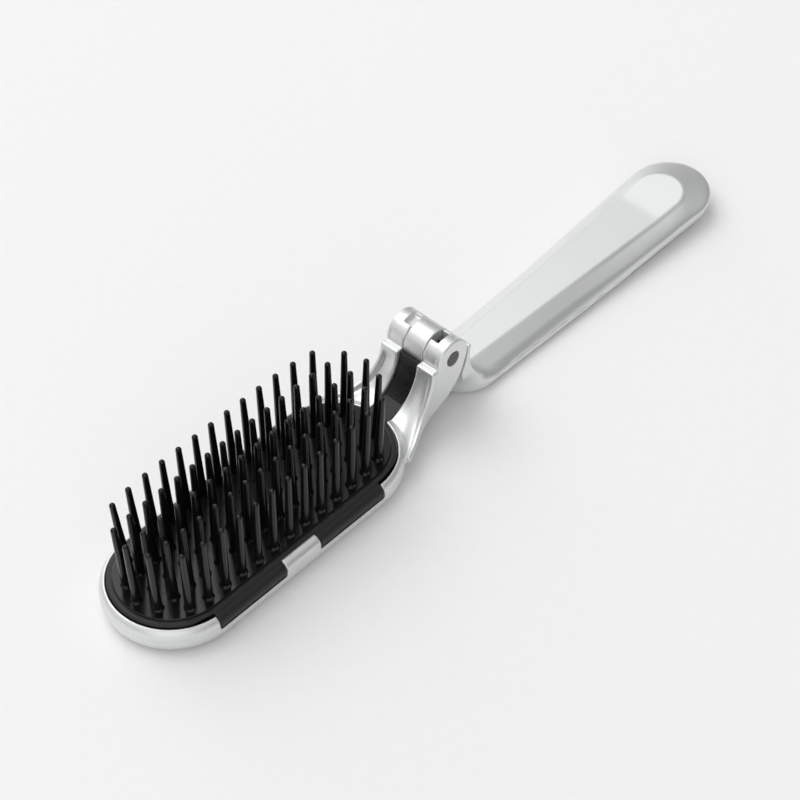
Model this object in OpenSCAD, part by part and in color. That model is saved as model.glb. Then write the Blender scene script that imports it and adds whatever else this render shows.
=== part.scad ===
// Folding hairbrush: a tray-shaped head whose bristle plate is a lid over a small mirror,
// and a handle that folds over the bristles on a barrel hinge.
// The head lies along X and the handle points to +X. The origin is under the middle of
// the head, on the flat of its back.

/* [Head] */
// Length of the head over its rounded ends
head_len = 85; // [84:0.5:88]
// Width of the head
head_w = 34; // [33:0.5:36]
// Height of the rim above the back
rim_h = 7.6; // [7.4:0.1:8.2]
// Width of the rim seen from above
rim_t = 1.6; // [1.4:0.1:1.8]
// Radius that rolls the rim over, and of the lid's hinge knuckles
roll_r = 2.2; // [2:0.05:2.3]
// Height of the seam between the back cover and the rim
head_seam_z = 4.6; // [4.4:0.1:4.8]
// Radius of the rounded back edge
back_r = 3.1; // [2.8:0.1:4]
// Wall of the moulded covers
wall = 1.2; // [1:0.1:1.4]

/* [Lid and bristles] */
// Gap between the lid's edge ring and the rim
lid_gap = 0.3; // [0.25:0.05:0.4]
// Height of the lid's edge ring above the rim
ring_rise = 0.6; // [0.5:0.05:0.8]
// Height of the bristle plate above the edge ring
plate_rise = 0.5; // [0.4:0.1:0.7]
// Length of a bristle pin above the plate
pin_len = 19.7; // [17:0.1:19.8]
// Radius of a bristle pin at its root
pin_root_r = 1.15; // [1:0.05:1.25]
// Radius of a bristle pin at its rounded tip
pin_tip_r = 0.72; // [0.6:0.02:0.8]
// Distance between neighbouring rows of pins
row_pitch = 5.7; // [5.4:0.1:5.8]
// How far the outermost pins lean out at their tips
pin_fan = 1.3; // [0.5:0.1:1.6]
// How far the ends of the outermost rows bend in
row_bend = 1.2; // [0:0.1:1.4]
// Length of the fixed knuckle between the lid's two knuckles
mid_knuckle_len = 10.7; // [9:0.1:12]
// Length of each of the lid's knuckles
lid_knuckle_len = 20.7; // [18:0.1:21]
// Shift of the lid's knuckles along the head
knuckle_shift = -1; // [-1.5:0.1:0]

/* [Handle hinge] */
// Distance from the end of the head to the hinge
hinge_out = 15.6; // [15.3:0.1:16.5]
// Height of the hinge above the back
hinge_z = 18.8; // [18.6:0.1:19.4]
// Radius of the hinge barrel
barrel_r = 5.05; // [4.8:0.05:5.15]
// Length of the whole barrel
barrel_len = 16.8; // [16:0.2:17.2]
// Length of the handle's knuckle between the arms
knuckle_len = 5.9; // [5.6:0.1:6.2]
// Radius of the hinge pin
hinge_pin_r = 1.9; // [1.6:0.1:2.1]
// Play of a pin in the bore that turns on it
pin_play = 0.05; // [0.03:0.01:0.08]

/* [Handle] */
// Distance from the hinge to the tip of the handle
handle_reach = 99.9; // [96:0.1:102]
// Width of the handle at its rounded nose behind the hinge
nose_w = 18.4; // [17.6:0.2:19]
// Width of the handle near its tip
tip_w = 21.8; // [20:0.2:23]
// Height of the flat top at its hinge end
top_front_z = 6.7; // [6.5:0.1:7.2]
// Height of the flat top near the tip
top_tip_z = 8.8; // [8.2:0.1:8.9]
// Half width of the flat top at its hinge end
top_front_r = 3.4; // [3:0.1:3.8]
// Half width of the flat top near the tip
top_tip_r = 6.3; // [5.8:0.1:7]
// Height of the seam between the handle's shells
handle_seam_z = 2.4; // [2.2:0.1:2.6]

/* [Mirror] */
// Thickness of the mirror glass
glass_t = 1.3; // [1:0.1:1.3]
// Thickness of the adhesive tape under the glass
tape_t = 0.2; // [0.1:0.05:0.3]

/* [Hidden] */
$fn = 64;

silver = "#c9cbcc";
black = "#161617";
grey = "#4a4b4c";

e = 0.01;                            // overlap that makes a cut clean
hinge_x = head_len / 2 + hinge_out;
head_r = head_w / 2;
half_run = (head_len - head_w) / 2;  // half of the head's straight sides
rim_in = head_r - rim_t;

// Axis of the lid's hinge, along X in the near rim
lid_y = roll_r - head_r;
lid_z = rim_h - roll_r;
lid_clear = 0.2;                     // room round a knuckle that turns
end_gap = 0.15;                      // gap between neighbouring knuckles
wire_r = 0.6;
notch_r = 8;                         // finger notch in the far rim
notch_depth = 1.2;

// The lid's edge ring, its body below the ring, and the recess for the pad
ring_r = rim_in - lid_gap;
ring_top = rim_h + ring_rise;
ring_low = rim_h - 0.4;
lid_body_r = ring_r - 1.1;
lid_low = lid_z - 0.4;
recess_r = lid_body_r - 1.3;
lid_floor = 1.2;
ring_chamfer = 0.3;
plate_z = ring_top + plate_rise;
plate_r = ring_r - 1.3;
plate_chamfer = 0.2;
bead_r = 0.2;                        // bead that clicks past the tray wall
bead_len = 12;

// Mirror tray
tray_r = rim_in - 0.2;
tray_top = head_seam_z - 0.8;
glass_r = lid_body_r - 1;
glass_top = tray_top - 0.2;
tray_wall = 0.85;
tray_wall_y = -6;                    // where the tray wall ends, clear of the lid's hinge
knuckle_room = 0.35;                 // room between the tray and the lid's knuckles

// Arms: the front of an arm is hollowed by one circle and its back is rounded by another
arm_front = [hinge_x - 19.5, hinge_z + 0.3];
arm_front_r = 12.5;
arm_back = [hinge_x - 9.2, hinge_z + 0.75];
arm_back_r = 14.15;
ledge_z = hinge_z - 0.4;
slot_w = knuckle_len + 0.4;
arm_fillet = 12;
neck_x0 = half_run + rim_in - 5;
slot_low = head_seam_z + 0.6;
barrel_half = barrel_len / 2;
window_x = [hinge_x - 1.8, hinge_x + 2.1];
window_w = 2.3;                      // width of a window over the hinge pin

// Black tongue that closes the space between the arms
tongue_front_r = arm_front_r + 0.9;
tongue_w = slot_w - 0.3;
crease_angle = -54.4;
tongue_crease = arm_front + tongue_front_r * [cos(crease_angle), sin(crease_angle)];
tongue_lip_z = hinge_z - 0.8;
knuckle_clear = 0.35;

// Handle
nose_r = nose_w / 2;
nose_x = hinge_x + 12.4;
tip_r = tip_w / 2;
tip_x = hinge_x + handle_reach - tip_r;
tip_round = 5.9;                     // radius of the tip's rounded underside
nose_round = handle_seam_z;
top_front_x = hinge_x + 12;
top_tip_x = hinge_x + handle_reach - 8.5 - top_tip_r;
flange_t = 0.8;
nose_flange = 0.7;                   // width of the flange beside the raised middle
tip_flange = 0.5;
handle_wall = 1.5;
cover_rest = 3.6;                    // width of the shells' rim where they meet
tip_rest = 4.2;
cup_gap = 0.45;                      // gap between the arms and the handle's cupped nose
cup_front = hinge_x + 3.2;
cup_t = 3.4;
cup_low = 8;
web_back = hinge_x + 6.4;            // end of the web from the knuckle to the cup
web_t = barrel_r - 0.35;
scoop_r = 12.3;
scoop = [hinge_x + 18.9, handle_seam_z + flange_t - 0.1 + scoop_r];

// Rows of pins: how many pins, half the length of the row, and its place across the head
rows = [[13, 30.2, -2], [16, 35, -1], [16, 36.6, 0], [16, 35, 1], [13, 30.2, 2]];
pin_sink = 0.4;                      // depth of a pin's root below the plate
root_flare = 0.45;                   // flare round a pin's root
flare_h = 0.7;

// Flat outline with two straight sides and two round ends
module stadium(r)
{
    square([2 * half_run, 2 * r], center = true);
    for (side = [-1, 1])
        translate([side * half_run, 0])
            circle(r);
}

// Solid block with that outline
module stadium_block(r, z0, z1)
{
    translate([0, 0, z0])
        linear_extrude(z1 - z0)
            stadium(r);
}

// Solid whose edge follows a half section drawn in radius and height
module stadium_sweep()
{
    for (side = [-1, 1])
        translate([side * half_run, 0, 0])
            rotate([0, 0, -90 * side])
                rotate_extrude(angle = 180)
                    children();
    translate([-half_run, 0, 0])
        rotate([90, 0, 90])
            linear_extrude(2 * half_run) {
                children();
                mirror([1, 0])
                    children();
            }
}

// Rod along the lid's hinge axis
module lid_rod(r, x0, x1)
{
    translate([x0, lid_y, lid_z])
        rotate([0, 90, 0])
            cylinder(r = r, h = x1 - x0);
}

// Rod along the handle's hinge axis
module hinge_rod(r, y0, y1)
{
    translate([hinge_x, y1, hinge_z])
        rotate([90, 0, 0])
            cylinder(r = r, h = y1 - y0);
}

// Side view drawn in X and Z, given a width across the brush
module side_slab(width)
{
    translate([0, width / 2, 0])
        rotate([90, 0, 0])
            linear_extrude(width)
                children();
}

// Where the lid's two knuckles begin and end
function lid_knuckles() = [
    [rim_knuckle[0] - end_gap - lid_knuckle_len, rim_knuckle[0] - end_gap],
    [rim_knuckle[1] + end_gap, rim_knuckle[1] + end_gap + lid_knuckle_len]];

// Where the middle knuckle begins and ends
rim_knuckle = [knuckle_shift - mid_knuckle_len / 2, knuckle_shift + mid_knuckle_len / 2];

// Room for the lid's knuckles in the back cover's edge
module lid_pockets()
{
    for (k = lid_knuckles())
        lid_rod(roll_r + lid_clear + 0.05, k[0] - end_gap, k[1] + end_gap);
}

// Gap in the near rim for the three knuckles
module rim_gap()
{
    x0 = lid_knuckles()[0][0] - end_gap;
    translate([x0, -head_r - 1, head_seam_z - 1])
        cube([lid_knuckles()[1][1] + end_gap - x0, roll_r + rim_t + 1, rim_h]);
}

// Half section of the rim
module rim_section()
{
    intersection() {
        union() {
            translate([rim_in - 1, head_seam_z])
                square([rim_t + 1, lid_z - head_seam_z]);
            translate([head_r - roll_r, lid_z])
                circle(roll_r);
        }
        translate([rim_in, head_seam_z])
            square([rim_t + 1, rim_h]);
    }
}

// Half section of the back cover, smaller all round by an inset
module back_section(inset)
{
    translate([0, inset])
        square([head_r - back_r, head_seam_z - inset]);
    translate([head_r - back_r, back_r])
        intersection() {
            circle(back_r - inset);
            translate([0, -back_r])
                square(back_r);
        }
    translate([0, back_r])
        square([head_r - inset, head_seam_z - back_r]);
}

// Points along an arc of a circle, from one angle to another
function arc(centre, r, from, to, steps = 12) =
    [for (i = [0 : steps])
        let (a = from + (to - from) * i / steps)
        centre + r * [cos(a), sin(a)]];

// Outline of the neck seen from above, with a fillet into the head on each side
module neck_outline()
{
    sunk_r = head_r - 0.3 + arm_fillet;
    fillet_y = barrel_half + arm_fillet;
    fillet_x = half_run + sqrt(pow(sunk_r, 2) - pow(fillet_y, 2));
    start = atan2(fillet_y, fillet_x - half_run);
    half = concat(
        [[neck_x0, 0], [neck_x0, fillet_y - arm_fillet * sin(start)]],
        arc([fillet_x, fillet_y], arm_fillet, 180 + start, 270),
        [[hinge_x + barrel_r + 1, barrel_half], [hinge_x + barrel_r + 1, 0]]);
    polygon(half);
    mirror([0, 1])
        polygon(half);
}

// Side view of the arms without their barrel
module arm_side()
{
    underside = arm_back[1] - arm_back_r;
    back_top = asin((ledge_z - arm_back[1]) / arm_back_r);
    front_top = asin((ledge_z - arm_front[1]) / arm_front_r);
    front_end = -acos((neck_x0 - arm_front[0]) / arm_front_r);
    polygon(concat(
        [[neck_x0, underside]],
        arc(arm_back, arm_back_r, -90, back_top, 20),
        arc(arm_front, arm_front_r, front_top, front_end, 20)));
}

module head_frame()
{
    color(silver)
    difference() {
        union() {
            stadium_sweep()
                rim_section();
            difference() {
                union() {
                    intersection() {
                        side_slab(2 * head_r)
                            arm_side();
                        linear_extrude(hinge_z + barrel_r)
                            neck_outline();
                    }
                    hinge_rod(barrel_r, -barrel_half, barrel_half);
                }
                stadium_block(rim_in, head_seam_z - 1, hinge_z);
            }
        }
        // slot between the arms
        translate([neck_x0, -slot_w / 2, slot_low])
            cube([head_len, slot_w, head_len]);
        // windows over the hinge pin
        for (side = [-1, 1])
            translate([window_x[0], side * (slot_w + window_w) / 2 - (window_w + e) / 2, hinge_z])
                cube([window_x[1] - window_x[0], window_w + e, barrel_r + 1]);
        hinge_rod(hinge_pin_r, -barrel_half - 1, barrel_half + 1);
        rim_gap();
        // finger notch in the far rim
        translate([0, rim_in - 1, rim_h + notch_r - notch_depth])
            rotate([-90, 0, 0])
                cylinder(r = notch_r, h = rim_t + 2);
    }
}

module head_back_cover()
{
    color(silver)
    difference() {
        union() {
            difference() {
                stadium_sweep()
                    back_section(0);
                stadium_sweep()
                    back_section(wall);
                lid_pockets();
            }
            // knuckle between the lid's two
            lid_rod(roll_r, rim_knuckle[0], rim_knuckle[1]);
        }
        lid_rod(wire_r, rim_knuckle[0] - 1, rim_knuckle[1] + 1);
    }
}

// Side view of the tongue between the arms
module tongue_side()
{
    back_r2 = arm_back_r - 0.8;
    low = arm_back[1] - back_r2;
    root_x = half_run + tray_r - 0.7;
    root_top = ring_low - 0.3;
    back_x = hinge_x + 1;
    clear_r = barrel_r + knuckle_clear;
    lip = asin((tongue_lip_z - hinge_z) / clear_r);
    front_top = asin((tongue_lip_z - arm_front[1]) / tongue_front_r);
    polygon(concat(
        [[root_x, low - 0.5], [tongue_crease[0], low - 0.5]],
        arc(arm_back, back_r2, -90, -acos((back_x - arm_back[0]) / back_r2), 12),
        arc([hinge_x, hinge_z], clear_r, -acos((back_x - hinge_x) / clear_r), -180 - lip, 16),
        arc(arm_front, tongue_front_r, front_top, crease_angle, 12),
        [[half_run + ring_r + lid_gap, root_top], [root_x, root_top]]));
}

module mirror_tray()
{
    color(black)
    difference() {
        union() {
            difference() {
                stadium_sweep()
                    polygon([[0, wall], [head_r - back_r - 0.2, wall], [tray_r - 0.6, tray_top - 0.8],
                             [tray_r, tray_top - 0.4], [tray_r, tray_top], [0, tray_top]]);
                stadium_block(glass_r + 0.2, glass_top - glass_t - tape_t, tray_top + 1);
            }
            // wall that closes the gap under the lid's edge ring
            intersection() {
                difference() {
                    stadium_block(tray_r, tray_top - 0.4, ring_low - 0.2);
                    stadium_block(tray_r - tray_wall, tray_top - 1, ring_low);
                }
                translate([-head_len, tray_wall_y, 0])
                    cube([2 * head_len, head_w, rim_h]);
            }
            side_slab(tongue_w)
                tongue_side();
        }
        lid_rod(roll_r + knuckle_room, lid_knuckles()[0][0] - 1, lid_knuckles()[1][1] + 1);
    }
}

module mirror_tape()
{
    color("white")
    stadium_block(glass_r - 1, glass_top - glass_t - tape_t, glass_top - glass_t);
}

module mirror_glass()
{
    color("#aeb9c2")
    stadium_block(glass_r, glass_top - glass_t, glass_top);
}

module lid_hinge_pin()
{
    color("#8d9093")
    lid_rod(wire_r, lid_knuckles()[0][0], lid_knuckles()[1][1]);
}

module handle_hinge_pin()
{
    color(grey)
    hinge_rod(hinge_pin_r, -barrel_half, barrel_half);
}

module bristle_lid()
{
    k = lid_knuckles();
    color(grey)
    difference() {
        union() {
            difference() {
                union() {
                    stadium_sweep()
                        polygon([[0, ring_low], [ring_r, ring_low], [ring_r, ring_top - ring_chamfer],
                                 [ring_r - ring_chamfer, ring_top], [0, ring_top]]);
                    stadium_block(lid_body_r, lid_low, ring_low + e);
                }
                // hollow that lets the ring turn over the rim
                lid_rod(roll_r + lid_clear, -head_len, k[0][0]);
                lid_rod(roll_r + lid_clear, k[0][1], k[1][0]);
                lid_rod(roll_r + lid_clear, k[1][1], head_len);
            }
            for (span = k)
                lid_rod(roll_r, span[0], span[1]);
            translate([-bead_len / 2, lid_body_r, lid_z])
                rotate([0, 90, 0])
                    cylinder(r = bead_r, h = bead_len);
        }
        stadium_block(recess_r, lid_low + lid_floor, ring_top + 1);
        lid_rod(wire_r + pin_play, -head_len, head_len);
    }
}

// One bristle pin standing on the plate, leaning by an offset of its tip
module bristle_pin(x, y, dx, dy)
{
    translate([x, y, plate_z])
        rotate([-atan(dy / pin_len), atan(dx / pin_len), 0]) {
            translate([0, 0, -pin_sink])
                cylinder(r1 = pin_root_r, r2 = pin_tip_r, h = pin_len - pin_tip_r + pin_sink, $fn = 24);
            translate([0, 0, pin_len - pin_tip_r])
                sphere(pin_tip_r, $fn = 24);
            translate([0, 0, flare_h - 1])
                cylinder(r1 = pin_root_r + root_flare, r2 = pin_root_r - 0.05, h = 1, $fn = 24);
        }
}

module bristle_pad()
{
    color(black) {
        stadium_block(recess_r - 0.1, lid_low + lid_floor, ring_top + e);
        stadium_sweep()
            polygon([[0, ring_top], [plate_r, ring_top], [plate_r, plate_z - plate_chamfer],
                     [plate_r - plate_chamfer, plate_z], [0, plate_z]]);
        for (row = rows)
            for (i = [0 : row[0] - 1]) {
                u = 2 * i / (row[0] - 1) - 1;
                bristle_pin(u * row[1], row[2] * (row_pitch - row_bend / 2 * pow(u, 6)),
                            pin_fan * pow(u, 3), pin_fan * row[2] / 3);
            }
    }
}

// Round slice of the handle, whose edge curves in below a given height
module handle_slice(x, r, z0, z1, widest, round_r)
{
    steps = 5;
    translate([x, 0, 0])
        rotate_extrude($fn = 48)
            polygon(concat(
                [[0, z0]],
                [for (i = [0 : steps])
                    let (z = z0 + (min(widest, z1) - z0) * i / steps, d = max(widest - z, 0))
                    [r - round_r + sqrt(pow(round_r, 2) - pow(d, 2)), z]],
                [[r, z1], [0, z1]]));
}

// Thin round plate
module disc(x, r, z)
{
    translate([x, 0, z])
        cylinder(r = r, h = 0.02, $fn = 48);
}

// Raised middle of the handle, with the flat top that narrows towards the hinge
module handle_ridge()
{
    hull() {
        disc(nose_x, nose_r - nose_flange, handle_seam_z + e);
        disc(nose_x, nose_r - nose_flange, handle_seam_z + flange_t);
        disc(tip_x, tip_r - tip_flange, tip_round + flange_t);
        disc(top_front_x, top_front_r, top_front_z);
        disc(top_tip_x, top_tip_r, top_tip_z);
    }
}

module handle_shell()
{
    color(silver)
    difference() {
        union() {
            difference() {
                union() {
                    hull() {
                        handle_slice(nose_x, nose_r, handle_seam_z, handle_seam_z + flange_t,
                                     handle_seam_z, nose_round);
                        handle_slice(tip_x, tip_r, handle_seam_z, tip_round + flange_t,
                                     tip_round, tip_round);
                    }
                    handle_ridge();
                    // cupped nose behind the arms
                    hull() {
                        handle_slice(nose_x, nose_r - 0.1, handle_seam_z, handle_seam_z + flange_t,
                                     handle_seam_z, nose_round);
                        translate([cup_front, -barrel_half, cup_low])
                            cube([cup_t, barrel_len, hinge_z - cup_low]);
                    }
                }
                // scoop between the cup and the flat top
                difference() {
                    side_slab(2 * nose_w)
                        translate(scoop)
                            circle(scoop_r);
                    handle_ridge();
                    translate([scoop[0], -nose_w, 0])
                        cube([scoop_r, 2 * nose_w, 3 * scoop_r]);
                }
                // hollow
                hull() {
                    disc(nose_x + 2, nose_r - cover_rest, handle_seam_z - e);
                    disc(tip_x, tip_r - cover_rest, handle_seam_z - e);
                    disc(top_front_x + 4, top_front_r / 2, top_front_z - handle_wall - 0.6);
                    disc(top_tip_x, top_tip_r - handle_wall, top_tip_z - handle_wall);
                }
                // room for the round backs of the arms
                side_slab(2 * nose_w)
                    translate(arm_back)
                        circle(arm_back_r + cup_gap);
            }
            hinge_rod(barrel_r, -knuckle_len / 2, knuckle_len / 2);
            // web from the knuckle to the cup
            translate([hinge_x, -knuckle_len / 2, hinge_z - 0.2 - web_t])
                cube([web_back - hinge_x, knuckle_len, web_t]);
        }
        hinge_rod(hinge_pin_r + pin_play, -barrel_half, barrel_half);
    }
}

module handle_back_cover()
{
    color(silver)
    difference() {
        hull() {
            handle_slice(nose_x, nose_r, 0, handle_seam_z, handle_seam_z, nose_round);
            handle_slice(tip_x, tip_r, 0, handle_seam_z, tip_round, tip_round);
        }
        hull() {
            disc(nose_x + 2, nose_r - cover_rest, wall);
            disc(tip_x, tip_r - tip_rest, wall);
            disc(nose_x + 2, nose_r - cover_rest, handle_seam_z);
            disc(tip_x, tip_r - tip_rest, handle_seam_z);
        }
    }
}

head_frame();
head_back_cover();
mirror_tray();
mirror_tape();
mirror_glass();
lid_hinge_pin();
handle_hinge_pin();
bristle_lid();
bristle_pad();
handle_shell();
handle_back_cover();
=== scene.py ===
"""Looks of the folding hairbrush: smooth shells on the CAD frame, materials, light and camera."""
import math

import bpy
import numpy as np
from mathutils import Matrix, Vector


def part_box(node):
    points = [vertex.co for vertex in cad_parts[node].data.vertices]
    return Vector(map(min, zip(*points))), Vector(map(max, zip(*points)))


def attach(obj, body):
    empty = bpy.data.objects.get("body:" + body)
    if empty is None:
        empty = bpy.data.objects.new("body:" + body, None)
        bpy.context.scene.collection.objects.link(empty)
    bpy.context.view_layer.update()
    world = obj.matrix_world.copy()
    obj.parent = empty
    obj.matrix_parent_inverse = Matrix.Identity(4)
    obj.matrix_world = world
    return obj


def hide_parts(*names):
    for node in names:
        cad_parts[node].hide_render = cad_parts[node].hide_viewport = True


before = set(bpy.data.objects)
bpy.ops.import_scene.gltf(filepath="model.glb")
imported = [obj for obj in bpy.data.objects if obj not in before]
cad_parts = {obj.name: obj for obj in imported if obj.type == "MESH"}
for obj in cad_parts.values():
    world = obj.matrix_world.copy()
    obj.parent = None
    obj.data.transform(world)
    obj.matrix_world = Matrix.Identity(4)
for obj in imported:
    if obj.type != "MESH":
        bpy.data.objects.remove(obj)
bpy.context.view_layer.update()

MM = 0.001

# ---------------------------------------------------------------- camera

VIEW_AZIMUTH = -45.62
VIEW_ELEVATION = 46.5
VIEW_ROLL = -1.72
VIEW_DISTANCE = 0.7165
VIEW_TARGET = Vector((0.0529, 0.0043, 0.0))
LENS = 135


def add_camera():
    """The photograph's view: a long lens from the near left, looking down at about 45 degrees."""
    azimuth, elevation = math.radians(VIEW_AZIMUTH), math.radians(VIEW_ELEVATION)
    back = Vector((math.sin(azimuth) * math.cos(elevation),
                   -math.cos(azimuth) * math.cos(elevation),
                   math.sin(elevation)))
    roll = Matrix.Rotation(math.radians(VIEW_ROLL), 3, "Z")
    turn = back.to_track_quat("Z", "Y").to_matrix() @ roll
    data = bpy.data.cameras.new("camera")
    data.lens = LENS
    data.clip_end = 10
    camera = bpy.data.objects.new("camera", data)
    camera.matrix_world = Matrix.Translation(VIEW_TARGET + back * VIEW_DISTANCE) @ turn.to_4x4()
    bpy.context.scene.collection.objects.link(camera)
    bpy.context.scene.camera = camera


# ---------------------------------------------------------------- materials

class Material:
    """A node material round one Principled shader, with short calls for the nodes that feed it."""

    def __init__(self, name, color, roughness, metallic=0.0, **sockets):
        self.material = bpy.data.materials.new(name)
        self.material.use_nodes = True
        self.tree = self.material.node_tree
        self.shader = self.tree.nodes["Principled BSDF"]
        self.shader.inputs["Base Color"].default_value = (*color, 1)
        self.shader.inputs["Roughness"].default_value = roughness
        self.shader.inputs["Metallic"].default_value = metallic
        for socket, value in sockets.items():
            self.shader.inputs[socket.replace("_", " ")].default_value = value
        self.place = self.add("ShaderNodeTexCoord").outputs["Object"]

    def add(self, kind, **settings):
        node = self.tree.nodes.new(kind)
        for key, value in settings.items():
            setattr(node, key, value)
        return node

    def link(self, output, target):
        self.tree.links.new(output, target)

    def noise(self, size, detail=2.0, roughness=0.5):
        """Noise whose blotches are about this many millimetres across."""
        node = self.add("ShaderNodeTexNoise")
        node.inputs["Scale"].default_value = 1 / (size * MM)
        node.inputs["Detail"].default_value = detail
        node.inputs["Roughness"].default_value = roughness
        self.link(self.place, node.inputs["Vector"])
        return node.outputs["Fac"]

    def spread(self, value, low, high):
        """Maps a texture's middle range to low..high."""
        node = self.add("ShaderNodeMapRange")
        node.inputs["From Min"].default_value = 0.25
        node.inputs["From Max"].default_value = 0.75
        node.inputs["To Min"].default_value = low
        node.inputs["To Max"].default_value = high
        self.link(value, node.inputs["Value"])
        return node.outputs["Result"]

    def tint(self, value, dark, light):
        """Colours the surface between two colours by a texture."""
        node = self.add("ShaderNodeValToRGB")
        node.color_ramp.elements[0].position = 0.3
        node.color_ramp.elements[0].color = (*dark, 1)
        node.color_ramp.elements[1].position = 0.7
        node.color_ramp.elements[1].color = (*light, 1)
        self.link(value, node.inputs["Fac"])
        self.link(node.outputs["Color"], self.shader.inputs["Base Color"])

    def gloss(self, value, low, high):
        """Varies the roughness between two values by a texture."""
        self.link(self.spread(value, low, high), self.shader.inputs["Roughness"])

    def bump(self, *layers):
        """Bump from (texture, depth in millimetres) pairs."""
        normal = None
        for value, depth in layers:
            node = self.add("ShaderNodeBump")
            node.inputs["Distance"].default_value = depth * MM
            self.link(value, node.inputs["Height"])
            if normal is not None:
                self.link(normal, node.inputs["Normal"])
            normal = node.outputs["Normal"]
        self.link(normal, self.shader.inputs["Normal"])


def grey(value):
    return (value, value, value)


def silver_paint():
    """Satin silver paint: fine metal flakes under a thin clear coat."""
    m = Material("silver_paint", grey(0.78), 0.36, metallic=0.62)
    m.tint(m.noise(0.3, 2), (0.75, 0.757, 0.762), (0.785, 0.792, 0.797))
    m.gloss(m.noise(0.5, 2), 0.34, 0.4)
    m.bump((m.noise(0.22, 2), 0.0012))
    return m.material


def gloss_black():
    """Polished black plastic of the plate and its pins."""
    m = Material("gloss_black", grey(0.012), 0.22, Specular_IOR_Level=0.36)
    m.tint(m.noise(2, 2), (0.004, 0.004, 0.0045), (0.007, 0.007, 0.0075))
    m.gloss(m.noise(1.2, 3), 0.13, 0.19)
    m.bump((m.noise(1.5, 2), 0.004))
    return m.material


def matt_black():
    """Spark-eroded black plastic of the lid's ring and knuckles."""
    m = Material("matt_black", grey(0.02), 0.45, Specular_IOR_Level=0.32)
    m.tint(m.noise(0.4, 3), (0.014, 0.014, 0.015), (0.024, 0.024, 0.025))
    m.gloss(m.noise(0.5, 3), 0.38, 0.5)
    m.bump((m.noise(0.22, 3), 0.012))
    return m.material


def black_plastic():
    """Semi-gloss black plastic of the tray and its tongue."""
    m = Material("black_plastic", grey(0.01), 0.28, Specular_IOR_Level=0.25)
    m.tint(m.noise(1.5, 2), (0.009, 0.009, 0.0095), (0.016, 0.016, 0.017))
    m.gloss(m.noise(0.8, 3), 0.24, 0.32)
    m.bump((m.noise(0.5, 2), 0.005))
    return m.material


def dark_pin():
    """Turned end of the hinge pin, dark grey."""
    m = Material("dark_pin", grey(0.07), 0.45)
    m.tint(m.noise(0.5, 2), (0.058, 0.059, 0.061), (0.082, 0.083, 0.085))
    m.gloss(m.noise(0.6, 2), 0.38, 0.5)
    m.bump((m.noise(0.3, 2), 0.006))
    return m.material


def steel_wire():
    """Drawn steel wire."""
    m = Material("steel_wire", grey(0.55), 0.3, metallic=1.0)
    m.gloss(m.noise(0.2, 3), 0.24, 0.4)
    m.bump((m.noise(0.15, 2), 0.004))
    return m.material


def foam_tape():
    """White foam tape with open cells."""
    m = Material("foam_tape", grey(0.75), 0.85)
    m.tint(m.noise(0.6, 3), (0.68, 0.68, 0.66), (0.8, 0.8, 0.78))
    m.gloss(m.noise(0.8, 2), 0.8, 0.92)
    m.bump((m.noise(0.3, 3), 0.03))
    return m.material


def mirror_glass():
    """Silvered glass."""
    m = Material("mirror_glass", grey(0.86), 0.03, metallic=1.0)
    m.tint(m.noise(6, 2), (0.84, 0.86, 0.86), (0.88, 0.89, 0.9))
    m.gloss(m.noise(3, 3), 0.015, 0.05)
    m.bump((m.noise(25, 1), 0.003))
    return m.material


def floor_paint():
    """Plain pale paper."""
    m = Material("floor_paint", grey(0.9), 0.9)
    m.tint(m.noise(3, 2), grey(0.898), grey(0.908))
    m.bump((m.noise(0.8, 2), 0.01))
    return m.material


def paint(obj, material):
    """Gives an object one material in every slot."""
    if not obj.material_slots:
        obj.data.materials.append(material)
    for slot in obj.material_slots:
        slot.material = material


# ---------------------------------------------------------------- stage and light

FLOOR_HALF = 3.0
ROOM_BRIGHT_SIDE = (-0.25, 0.15, 0.95)
ROOM_BRIGHT_FROM = 0.95
ROOM_DIM = 0.12
ROOM_BRIGHT = 0.86

# Place, point that it faces, diameter in metres and power in watts of each lamp.
LAMPS = {
    "window": ((0.02, 1.25, 2.1), (0.05, 0, 0), 2.4, 24.5),
    "card": ((-1.25, -1.05, 0.45), (0, 0, 0), 1.8, 6),
    "back_card": ((0.45, 1.6, 0.35), (0.1, 0, 0), 1.2, 4),
}


def add_floor(material):
    """A square sheet of paper that reaches well past the view."""
    mesh = bpy.data.meshes.new("floor")
    signs = (-1, -1), (1, -1), (1, 1), (-1, 1)
    mesh.from_pydata([(a * FLOOR_HALF, b * FLOOR_HALF, 0) for a, b in signs], [], [(0, 1, 2, 3)])
    floor = bpy.data.objects.new("floor", mesh)
    bpy.context.scene.collection.objects.link(floor)
    paint(floor, material)


def add_lamp(name, place, target, size, watts):
    """A round area light that faces the target."""
    data = bpy.data.lights.new(name, "AREA")
    data.shape = "DISK"
    data.size = size
    data.energy = watts
    lamp = bpy.data.objects.new(name, data)
    aim = (Vector(place) - Vector(target)).to_track_quat("Z", "Y")
    lamp.matrix_world = Matrix.Translation(place) @ aim.to_matrix().to_4x4()
    bpy.context.scene.collection.objects.link(lamp)


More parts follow.
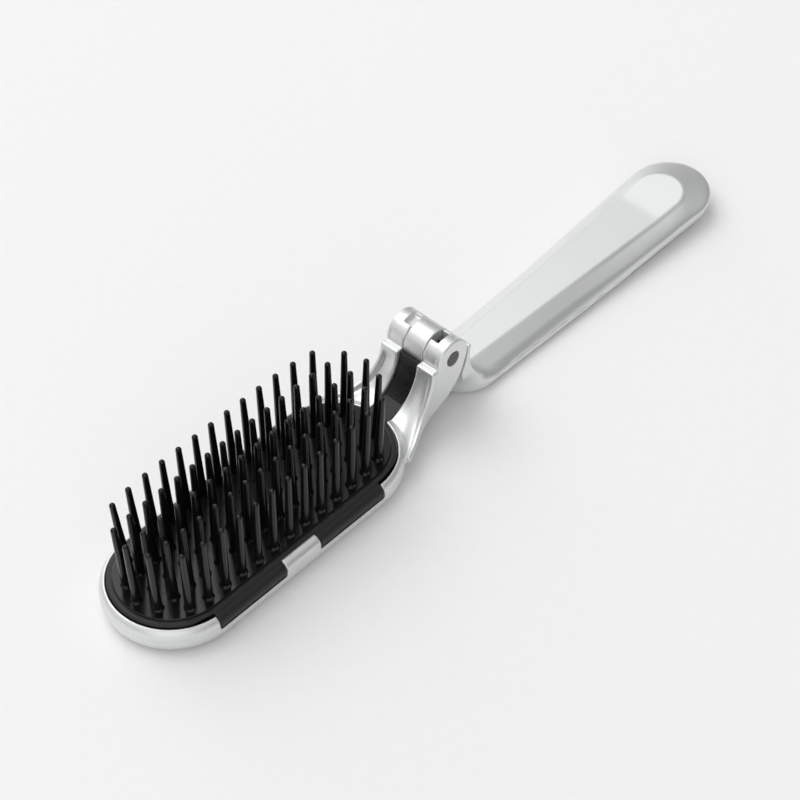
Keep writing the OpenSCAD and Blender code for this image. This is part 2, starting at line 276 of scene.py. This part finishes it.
def add_room():
    """A room that is bright overhead, a little brighter at the left and back, and dim low down."""
    world = bpy.data.worlds.new("room")
    world.use_nodes = True
    tree = world.node_tree
    background = tree.nodes["Background"]
    direction = tree.nodes.new("ShaderNodeTexCoord")
    height = tree.nodes.new("ShaderNodeVectorMath")
    height.operation = "DOT_PRODUCT"
    height.inputs[1].default_value = ROOM_BRIGHT_SIDE
    ramp = tree.nodes.new("ShaderNodeValToRGB")
    ramp.color_ramp.interpolation = "EASE"
    first, last = ramp.color_ramp.elements
    first.position, last.position = 0.0, ROOM_BRIGHT_FROM
    first.color = (*grey(ROOM_DIM), 1)
    last.color = (*grey(ROOM_BRIGHT), 1)
    tree.links.new(direction.outputs["Generated"], height.inputs[0])
    tree.links.new(height.outputs["Value"], ramp.inputs["Fac"])
    tree.links.new(ramp.outputs["Color"], background.inputs["Color"])
    bpy.context.scene.world = world


def add_light():
    """A soft window high at the back, white cards at the left and low at the back, and the room."""
    for name, lamp in LAMPS.items():
        add_lamp(name, *lamp)
    add_room()


# ---------------------------------------------------------------- sizes in mm, from the frame

def corners(node):
    """The low and the high corner of a CAD node's box."""
    low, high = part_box(node)
    return np.array(low) / MM, np.array(high) / MM


cover_low, cover_high = corners("head_back_cover")
frame_low, _ = corners("head_frame")
lid_low, lid_high = corners("bristle_lid")
wire_low, wire_high = corners("lid_hinge_pin")
pin_low, pin_high = corners("handle_hinge_pin")
shell_low, shell_high = corners("handle_shell")

# Head
head_r = cover_high[1]
half_run = cover_high[0] - head_r
rim_top = cover_high[2]
seam_z = frame_low[2]
rim_w = 1.6
rim_in = head_r - rim_w
side_depth = 3.8                    # how far in the side's curve begins
side_power = 2.5                    # 2 would be an ellipse, and more is fuller
rim_share = 0.9                     # share of the curve's height that is left above the seam
wall = 1.2
back_edge_r = 3.1
notch_r = 8
notch_depth = 1.2

# Lid and its hinge
ring_r, ring_top = lid_high[1], lid_high[2]
lid_axis = ((wire_low[1] + wire_high[1]) / 2, (wire_low[2] + wire_high[2]) / 2)
knuckle_r = 2.2
knuckle_gap = 0.15                  # between the ends of neighbouring knuckles
knuckle_room = 0.2                  # round a knuckle
side_knuckle_len = 20.85
knuckles = (wire_low[0], wire_high[0])
middle_knuckle = (knuckles[0] + side_knuckle_len, knuckles[1] - side_knuckle_len)
gap_depth = 3.8                     # depth of the rim's gap for the knuckles
FAR = 200                           # past either end of the object

# Arms and the handle's hinge; a pair in the XZ plane is a circle's centre
hinge = ((pin_low[0] + pin_high[0]) / 2, (pin_low[2] + pin_high[2]) / 2)
pin_hole_r = (pin_high[2] - pin_low[2]) / 2 + 0.06
barrel_r = 5.05
barrel_half = pin_high[1]
slot_half = 3.15
slot_floor = seam_z + 0.6
middle_half = 2.95                  # half the width of the handle's knuckle
neck_start = half_run + rim_in - 5
neck_fillet = 12
arm_front = (hinge[0] - 19.5, hinge[1] + 0.3)
arm_front_r = 12.5
arm_back = (hinge[0] - 9.2, hinge[1] + 0.75)
arm_back_r = 14.15
arm_hollow = 0.75
ledge_z = hinge[1] - 0.4
window_x = (hinge[0] - 1.8, hinge[0] + 2.1)
window_side = (3.15, 5.45)
far_window_rise = 3.7               # the far window is this much shallower than the near one
bead = (7.85, 0.42, 0.05)           # place along the barrel, width and height
groove = (6.95, 0.4, -0.07)

# Handle; a plan circle is given by its place on the X axis and its radius
handle_end = shell_high[0]
handle_seam = shell_low[2]
nose = (hinge[0] + 12.4, 9.2)
tip = (handle_end - shell_high[1], shell_high[1])
flat_front = (hinge[0] + 12, 3.4)
flat_tip = (handle_end - 8.5 - 6.3, 6.3)
flat_front_z = 6.7
crease_x = handle_end - 22
crease_z = 7.85
upturn_run = 13.5                   # from the crease to the end of the flat
upturn_rise = 0.85
widest_rise = 3.5                   # how far the widest line climbs by the tip
shoulder_drop = 0.35                # steep edge beside the flat, near the tip
foot_rise = 0.75                    # the sides' foot above the widest line, near the hinge
ring_x = (handle_end - 63, handle_end - 18)      # where the sides turn into the tip's ring
shoulder_x = (handle_end - 58, handle_end - 33)  # where the steep edge begins
end_x = (handle_end - 20, handle_end - 8)        # where the ring turns into the end's slope
scoop = (hinge[0] + 19.5, 15.4)
scoop_r = 12.9
scoop_stretch = 1.05
hinge_gap = 0.45                    # between the arms' backs and the handle, at the top
hinge_gap_low = 0.6                 # what the gap gains lower down


# ---------------------------------------------------------------- forms as distances

def round_both(a, b, r):
    """Inside both forms, with the edge between them rounded to this radius."""
    return np.minimum(-r, np.maximum(a, b)) + np.hypot(np.maximum(r + a, 0), np.maximum(r + b, 0))


def round_either(a, b, r):
    """Inside either form, with a fillet of this radius where they meet."""
    return -round_both(-a, -b, r)


def round_cut(a, b, r):
    """Inside the first form and outside the second, with a rounded edge."""
    return round_both(a, -b, r)


def soft_step(value, start, end):
    """Rises smoothly from 0 to 1 between start and end."""
    u = np.clip((value - start) / (end - start), 0, 1)
    return u * u * (3 - 2 * u)


def soft_ramp(value, softness):
    """Zero below zero and the value itself above, with a soft bend between."""
    return (value + np.hypot(value, softness)) / 2


def from_circle(u, v, centre, r):
    return np.hypot(u - centre[0], v - centre[1]) - r


def between(value, low, high):
    return np.maximum(low - value, value - high)


def head_reach(x, y):
    """Distance from the head's middle line, which is its radius round the two ends."""
    return np.hypot(np.maximum(np.abs(x) - half_run, 0), y)


def two_circles(x, y, first, second):
    """Distance to the outline round two circles on the X axis, each given by place and radius."""
    length = second[0] - first[0]
    lean = (first[1] - second[1]) / length
    rise = math.sqrt(1 - lean * lean)
    along, side = x - first[0], np.abs(y)
    place = rise * along - lean * side
    return np.where(place < 0, np.hypot(along, side) - first[1],
                    np.where(place > rise * length, np.hypot(along - length, side) - second[1],
                             lean * along + rise * side - first[1]))


def lid_rod(x, y, z, r, span, edge=0.15):
    """A rod on the axis of the lid's hinge."""
    rod = from_circle(y, z, lid_axis, r)
    return round_both(rod, between(x, *span), edge)


# ---------------------------------------------------------------- head

def head_side(reach, z):
    """The head's outer wall: one smooth curve from the rim's top over the seam to the back."""
    tall = np.where(z > seam_z, (rim_top - seam_z) / rim_share, seam_z - cover_low[2])
    up = np.abs(z - seam_z) / tall
    out = np.maximum(reach - head_r + side_depth, 0) / side_depth
    return side_depth * ((up ** side_power + out ** side_power) ** (1 / side_power) - 1)


def rim_form(x, y, z):
    """The silver rim, with a finger notch at the far side and a gap for the lid's knuckles."""
    reach = head_reach(x, y)
    rim = np.maximum(head_side(reach, z), z - rim_top)
    rim = round_both(rim, rim_in - reach, 0.4)
    rim = np.maximum(rim, seam_z - z)
    notch = np.maximum(from_circle(x, z, (0, rim_top + notch_r - notch_depth), notch_r), -y)
    rim = round_cut(rim, notch, 0.4)
    gap_x = between(x, knuckles[0] - knuckle_gap, knuckles[1] + knuckle_gap)
    return round_cut(rim, np.maximum(gap_x, y + head_r - gap_depth), 0.2)


def neck_outline(x, y):
    """Plan of the neck, which flows out of the head's end in two wide fillets."""
    return round_either(head_reach(x, y) - head_r, np.abs(y) - barrel_half, neck_fillet)


def arm_pair_form(x, y, z):
    """The two curved arms, hollowed beside a raised line along their outer edges."""
    plan = neck_outline(x, y)
    valley = soft_step(-plan, 1.1, 2.0) * (1 - soft_step(-plan, 2.0, 5.5))
    hollowed = arm_hollow * valley * soft_step(ledge_z - z, 0.3, 4)
    front = -from_circle(x, z, arm_front, arm_front_r + hollowed)
    back = np.where(x > arm_back[0], from_circle(x, z, arm_back, arm_back_r),
                    arm_back[1] - arm_back_r - z)
    arms = round_both(front, back, 0.4)
    arms = round_both(arms, z - ledge_z, 0.3)
    arms = round_both(arms, plan, 0.7)
    arms = round_both(arms, rim_in - head_reach(x, y), 0.3)
    return np.maximum(arms, neck_start - x)


def barrel_form(x, y, z):
    """The hinge barrel, with a faint bead and groove near each end."""
    side = np.abs(y)
    relief = sum(height * np.exp(-((side - place) / width) ** 2)
                 for place, width, height in (bead, groove))
    return round_both(from_circle(x, z, hinge, barrel_r) - relief, side - barrel_half, 0.5)


def head_frame_form(x, y, z):
    """Rim, arms and barrel in one, cut by the slot, the windows and the pin's hole."""
    arms = round_either(arm_pair_form(x, y, z), barrel_form(x, y, z), 0.25)
    form = round_either(rim_form(x, y, z), arms, 1.0)
    form = np.maximum(form, seam_z - z)
    side = np.abs(y)
    slot = np.maximum(np.maximum(side - slot_half, slot_floor - z), neck_start - x)
    form = round_cut(form, slot, 0.22)
    window_floor = hinge[1] + np.where(y > 0, far_window_rise, 0)
    windows = np.maximum(between(x, *window_x),
                         np.maximum(between(side, *window_side), window_floor - z))
    form = round_cut(form, windows, 0.12)
    return round_cut(form, from_circle(x, z, hinge, pin_hole_r), 0.15)


def head_cover_form(x, y, z):
    """The rounded silver back, with the middle knuckle of the lid's hinge on its edge."""
    reach = head_reach(x, y)
    cover = np.maximum(head_side(reach, z), cover_low[2] - z)
    inside = round_both(reach - head_r + wall, cover_low[2] + wall - z, back_edge_r - wall)
    cover = round_cut(cover, inside, 0.1)
    cover = np.maximum(cover, z - seam_z)
    for span in ((knuckles[0] - knuckle_gap, middle_knuckle[0]),
                 (middle_knuckle[1], knuckles[1] + knuckle_gap)):
        cover = round_cut(cover, lid_rod(x, y, z, knuckle_r + 0.25, span), 0.1)
    return round_either(cover, lid_rod(x, y, z, knuckle_r, middle_knuckle), 0.3)


# ---------------------------------------------------------------- lid

def lid_form(x, y, z):
    """The black lid: a rounded edge ring that runs into two hinge knuckles."""
    reach = head_reach(x, y)
    ring = round_both(round_both(reach - ring_r, z - ring_top, 0.75), ring_top - 1 - z, 0.15)
    body = np.maximum(reach - ring_r + 1.1, between(z, lid_low[2] + 1.8, ring_top - 0.5))
    lid = round_either(ring, body, 0.1)
    first = (knuckles[0], middle_knuckle[0] - knuckle_gap)
    second = (middle_knuckle[1] + knuckle_gap, knuckles[1])
    for span in (first, second):
        lid = round_either(lid, lid_rod(x, y, z, knuckle_r, span, 0.25), 0.6)
    for span in ((-FAR, first[0]), (first[1], second[0]), (second[1], FAR)):
        lid = round_cut(lid, lid_rod(x, y, z, knuckle_r + knuckle_room, span), 0.05)
    recess = np.maximum(reach - ring_r + 2.4, lid_low[2] + 3 - z)
    return np.maximum(lid, -recess)


# ---------------------------------------------------------------- handle

def widest_height(x):
    """Height of the handle's widest line, which climbs towards the tip."""
    along = np.clip((x - nose[0]) / (handle_end - nose[0]), 0, 1)
    return handle_seam + widest_rise * along ** 2.6


def ring_share(x):
    """How far the handle's section has changed from plain sloping sides to the tip's ring."""
    return soft_step(x, *ring_x)


def flat_height(x):
    """Height of the flat top, which climbs a little and turns up past the crease."""
    climb = (crease_z - flat_front_z) / (crease_x - flat_front[0])
    upturn = soft_ramp((x - crease_x) / upturn_run, 0.08)
    return crease_z + climb * (x - crease_x) + upturn_rise * upturn


def handle_top(x, y):
    """Height of the top: a flat that narrows to the hinge, with plain slopes beside it that become
    a rounded ring towards the tip and a steeper slope at the very end."""
    flat = two_circles(x, y, flat_front, flat_tip)
    outline = np.minimum(two_circles(x, y, nose, tip), 0)
    out = np.clip(soft_ramp(flat / np.maximum(flat - outline, 0.5), 0.04) - 0.01, 0, 1)
    domed = 1 - np.sqrt(np.maximum(1 - out * out, 0))
    sloped = 0.85 * out + 0.15 * (1 - np.sqrt(np.maximum(1 - out ** 8, 0)))
    end = soft_step(x, *end_x)
    ring = domed + (0.45 + 0.55 * end) * (sloped - domed)
    share = ring_share(x)
    fall = (1 - share) * out + share * ring
    shoulder = shoulder_drop * soft_step(x, *shoulder_x) * (1 - end) * soft_step(flat, 0, 1.1)
    edge_z = flat_height(x) - shoulder
    foot = widest_height(x) + foot_rise * (1 - share)
    return edge_z - (edge_z - foot) * fall


def handle_body_form(x, y, z):
    """The handle's outline and top, with the cup behind the barrel and room for the arms."""
    cup_plan = np.maximum(np.abs(y) - barrel_half, nose[0] - nose[1] - x)
    cup_share = soft_step(z, 3.5, 10) * (1 - soft_step(x, scoop[0] - 12, scoop[0] + 8))
    outline = (1 - cup_share) * two_circles(x, y, nose, tip) + cup_share * cup_plan
    outer = round_both(outline, -z, widest_height(x))
    cup = np.maximum(scoop_r - np.hypot((x - scoop[0]) / scoop_stretch, z - scoop[1]), x - scoop[0])
    cup = round_both(cup, z - hinge[1], 0.3)
    top = round_either(0.85 * (z - handle_top(x, y)), cup, 1.2)
    edge = 0.4 + 2.0 * (1 - ring_share(x)) * (1 - soft_step(z, 4.5, 8))
    gap = hinge_gap + hinge_gap_low * (1 - soft_step(z, 8, 18))
    form = round_both(outer, top, edge)
    return round_cut(form, from_circle(x, z, arm_back, arm_back_r + gap), 0.35)


def handle_form(x, y, z):
    """The whole handle, with its knuckle in the barrel and the web that carries it."""
    side = np.abs(y)
    knuckle = round_both(from_circle(x, z, hinge, barrel_r), side - middle_half, 0.2)
    web = np.maximum(np.maximum(side - middle_half, between(x, hinge[0], hinge[0] + 6.2)),
                     between(z, hinge[1] - 4.9, hinge[1] - 0.2))
    form = round_either(handle_body_form(x, y, z), np.minimum(knuckle, web), 0.2)
    return round_cut(form, from_circle(x, z, hinge, pin_hole_r), 0.1)


def handle_shell_form(x, y, z):
    return np.maximum(handle_form(x, y, z), handle_seam - z)


def handle_cover_form(x, y, z):
    return np.maximum(handle_form(x, y, z), z - handle_seam)


# ---------------------------------------------------------------- meshes from forms

def grid_slices(starts, counts):
    return tuple(slice(start, start + count) for start, count in zip(starts, counts))


def net_points(value, cells):
    """For each cell, the mean of the places where the surface crosses its edges, and how many."""
    total, count = np.zeros(cells + [3]), np.zeros(cells)
    for axis in range(3):
        others = [a for a in range(3) if a != axis]
        for first in (0, 1):
            for second in (0, 1):
                start = [0, 0, 0]
                start[others[0]], start[others[1]] = first, second
                end = list(start)
                end[axis] = 1
                a, b = value[grid_slices(start, cells)], value[grid_slices(end, cells)]
                crossed = (a < 0) != (b < 0)
                place = np.where(crossed, a / np.where(crossed, a - b, 1), 0)
                for k in range(3):
                    total[..., k] += crossed * (place if k == axis else start[k])
                count += crossed
    return total, count


def net_faces(inside, index, cells):
    """A face for each grid edge that the surface crosses, through the cells round it."""
    faces = []
    for axis in range(3):
        u, v = (axis + 1) % 3, (axis + 2) % 3
        low_side = [slice(1, n) for n in cells]
        low_side[axis] = slice(0, cells[axis])
        high_side = list(low_side)
        high_side[axis] = slice(1, cells[axis] + 1)
        a, b = inside[tuple(low_side)], inside[tuple(high_side)]
        where = np.argwhere(a != b)
        where[:, u] += 1
        where[:, v] += 1
        ring = []
        for du, dv in ((0, 0), (-1, 0), (-1, -1), (0, -1)):
            corner = where.copy()
            corner[:, u] += du
            corner[:, v] += dv
            ring.append(index[tuple(corner.T)])
        quad = np.stack(ring, 1)
        outward = a[a != b]
        faces.append(np.where(outward[:, None], quad, quad[:, ::-1]))
    return np.concatenate(faces)


def net_over(form, low, high, step):
    """Corners and faces of the surface where a form's distance is zero, with one corner in each
    grid cell that the surface crosses."""
    axes = [np.arange(a - 1.5 * step, b + 2.5 * step, step) for a, b in zip(low, high)]
    x, y, z = np.meshgrid(*axes, indexing="ij", sparse=True)
    value = form(x, y, z) + np.zeros([len(a) for a in axes])
    cells = [len(a) - 1 for a in axes]
    total, count = net_points(value, cells)
    used = count > 0
    index = np.full(cells, -1)
    index[used] = np.arange(used.sum())
    points = total[used] / count[used][:, None] + np.argwhere(used)
    points = np.array([a[0] for a in axes]) + points * step
    return points, net_faces(value < 0, index, cells)


def settle(form, points, step, axes=(0, 1, 2)):
    """Moves the points onto the form's surface by a few short steps along its slope."""
    nudge = 0.02
    axes = list(axes)
    for _ in range(3):
        value = form(*points.T)
        slope = np.stack([form(*(points + d).T) - form(*(points - d).T)
                          for d in np.eye(3)[axes] * nudge], 1) / (2 * nudge)
        move = value[:, None] * slope / np.maximum((slope ** 2).sum(1), 0.2)[:, None]
        points = points.copy()
        points[:, axes] -= np.clip(move, -step / 2, step / 2)
    return points


def sharpen(form, points, seam, inward, step):
    """Moves the points close to a flat cut at this height onto the cut's edges."""
    close = np.flatnonzero(np.abs(points[:, 2] - seam) < 0.55 * step)
    place = points[close]
    place[:, 2] = seam + 0.01 * inward
    at_edge = np.abs(form(*place.T)) < 0.8 * step
    place = settle(form, place[at_edge], step, axes=(0, 1))
    place[:, 2] = seam
    points[close[at_edge]] = place
    return points


def crease_seam(mesh, points, seam):
    """Keeps smooth shading from running over the edges that lie in the seam."""
    at_seam = np.abs(points[:, 2] - seam) < 0.001
    ends = np.empty(2 * len(mesh.edges), int)
    mesh.edges.foreach_get("vertices", ends)
    mesh.edges.foreach_set("use_edge_sharp", at_seam[ends.reshape(-1, 2)].all(1))


def add_shell(name, form, node, body, material, slot, step, seam=None, inward=0):
    """A smooth piece that stands for a CAD node, with a crisp edge at its seam."""
    low, high = corners(node)
    if seam is not None:
        low[2] = seam - math.ceil((seam - low[2]) / step) * step
    points, faces = net_over(form, low, high, step)
    points = settle(form, points, step)
    if seam is not None:
        points = sharpen(form, points, seam, inward, step)
    mesh = bpy.data.meshes.new(name)
    mesh.from_pydata(points * MM, [], faces)
    mesh.polygons.foreach_set("use_smooth", np.ones(len(faces), bool))
    mesh.update()
    if seam is not None:
        crease_seam(mesh, points, seam)
    piece = bpy.data.objects.new(name, mesh)
    bpy.context.scene.collection.objects.link(piece)
    paint(piece, material)
    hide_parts(node)
    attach(piece, body)


# ---------------------------------------------------------------- build

add_camera()
add_floor(floor_paint())
add_light()

silver = silver_paint()
finishes = {
    "head_frame": silver,
    "head_back_cover": silver,
    "handle_shell": silver,
    "handle_back_cover": silver,
    "mirror_tray": black_plastic(),
    "mirror_tape": foam_tape(),
    "mirror_glass": mirror_glass(),
    "lid_hinge_pin": steel_wire(),
    "handle_hinge_pin": dark_pin(),
    "bristle_lid": matt_black(),
    "bristle_pad": gloss_black(),
}
for node, finish in finishes.items():
    paint(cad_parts[node], finish)

# Name, form, CAD node, body, material, slot, grid step, and the seam with its inward direction.
shells = (
    ("frame_skin", head_frame_form, "head_frame", "head", silver, "silver_paint", 0.28,
     seam_z, 1),
    ("back_skin", head_cover_form, "head_back_cover", "head", silver, "silver_paint", 0.3,
     seam_z, -1),
    ("lid_skin", lid_form, "bristle_lid", "lid", finishes["bristle_lid"], "grey_plastic", 0.25),
    ("handle_skin", handle_shell_form, "handle_shell", "handle", silver, "silver_paint", 0.28,
     handle_seam, 1),
    ("handle_back_skin", handle_cover_form, "handle_back_cover", "handle", silver, "silver_paint",
     0.28, handle_seam, -1),
)
for shell in shells:
    add_shell(*shell)

bpy.context.scene.view_settings.view_transform = "Standard"
